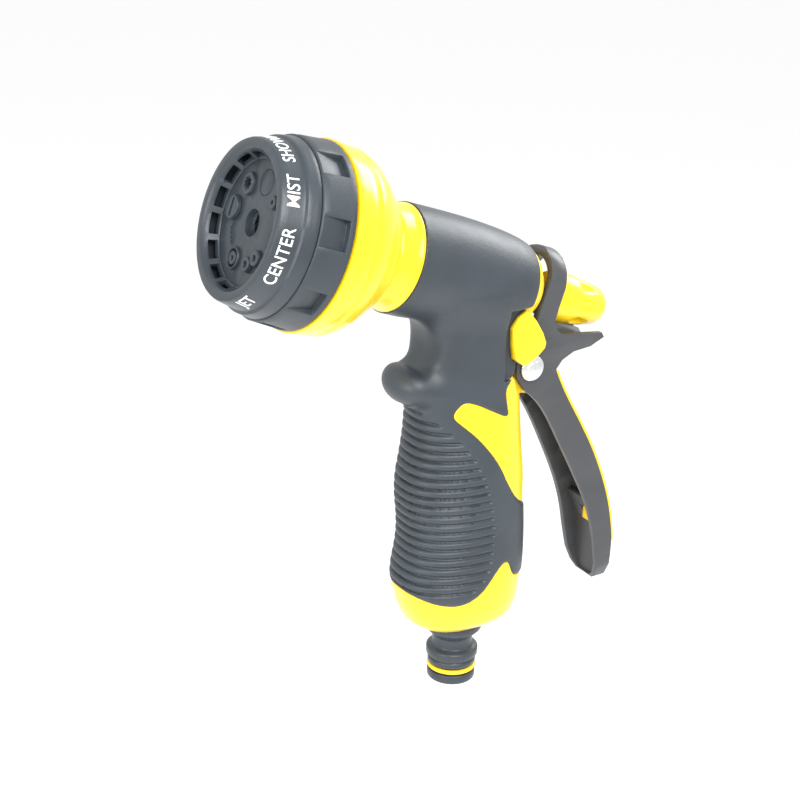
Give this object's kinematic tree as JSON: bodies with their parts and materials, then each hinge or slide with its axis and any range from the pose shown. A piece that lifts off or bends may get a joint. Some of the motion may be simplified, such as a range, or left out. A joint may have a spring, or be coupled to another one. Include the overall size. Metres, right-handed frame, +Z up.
{
  "type": "hose spray nozzle",
  "caption": "Pistol-grip hose spray nozzle with a turning pattern dial, soft ribbed grip, rear trigger with lock, flow knob and a click-type hose spigot.",
  "frame": {"origin": "centre of the end face of the hose spigot", "axes": "+Z up the handle, +X towards the spray, +Y to the user's left"},
  "size_m": [0.141, 0.0558, 0.1846],
  "materials": {
    "dark_plastic": "satin",
    "dark_tpr": "matte",
    "yellow_plastic": "gloss",
    "yellow_rubber": "satin",
    "black_rubber": "matte",
    "steel": "polished",
    "brass": "turned"
  },
  "bodies": {
    "body": {"body_core": "yellow_plastic", "grip_cover": "dark_tpr", "inlet_spigot": "dark_plastic", "spigot_o_ring": "yellow_rubber", "spigot_gasket": "black_rubber", "inlet_strainer": "steel", "neck_collar": "yellow_plastic", "neck_seal": "black_rubber", "funnel_cover": "yellow_plastic", "gland_nut": "yellow_plastic", "stem_seal": "black_rubber", "spring_washer": "steel", "return_spring": "steel", "valve_seat": "brass", "pivot_rivet": "steel", "port_plate": "yellow_plastic", "port_seal": "black_rubber", "retaining_ring": "steel", "detent_ball": "steel", "detent_spring": "steel"},
    "stem": {"valve_stem": "brass", "valve_plug": "black_rubber", "spring_cup": "brass"},
    "knob": {"flow_knob": "yellow_plastic"},
    "trigger": {"trigger_lever": "dark_plastic", "trigger_pad": "yellow_rubber"},
    "lock": {"lock_shaft": "steel", "lock_wing_left": "yellow_plastic", "lock_wing_right": "yellow_plastic"},
    "dial": {"dial_carrier": "dark_plastic", "grip_ring": "dark_tpr", "dial_bezel": "dark_plastic", "selector_plate": "dark_plastic", "centre_screen": "steel", "pattern_disc": "dark_plastic", "fan_outlet": "dark_plastic", "star_outlet": "dark_plastic", "mist_outlet": "dark_plastic", "flat_outlet": "dark_plastic", "jet_outlet": "dark_plastic", "cone_outlet": "dark_plastic"}
  },
  "joints": [
    {"name": "dial_turn", "type": "hinge", "parent": "body", "child": "dial", "pos_m": [0, 0, 0.1374], "axis": [0.9489, 0, 0.3155], "continuous": true},
    {"name": "trigger_squeeze", "type": "hinge", "parent": "body", "child": "trigger", "pos_m": [-0.0199, 0, 0.1072], "axis": [0, -1, 0], "range_deg": [0, 12], "stiffness_Nm_per_rad": 0.4, "springref_deg": -17.19},
    {"name": "valve_slide", "type": "slide", "parent": "body", "child": "stem", "axis": [-0.9489, 0, -0.3155], "range_m": [0, 0.0062], "deforming": ["return_spring"]},
    {"name": "flow_knob_turn", "type": "hinge", "parent": "stem", "child": "knob", "pos_m": [0, 0, 0.1374], "axis": [0.9489, 0, 0.3155], "range_deg": [0, 300]},
    {"name": "lock_flip", "type": "hinge", "parent": "body", "child": "lock", "pos_m": [-0.0128, 0, 0.118], "axis": [0, -1, 0], "range_deg": [0, 25]}
  ],
  "couplings": [
    {"joint": "valve_slide", "follows": "trigger_squeeze", "m_per_rad": 0.029}
  ]
}
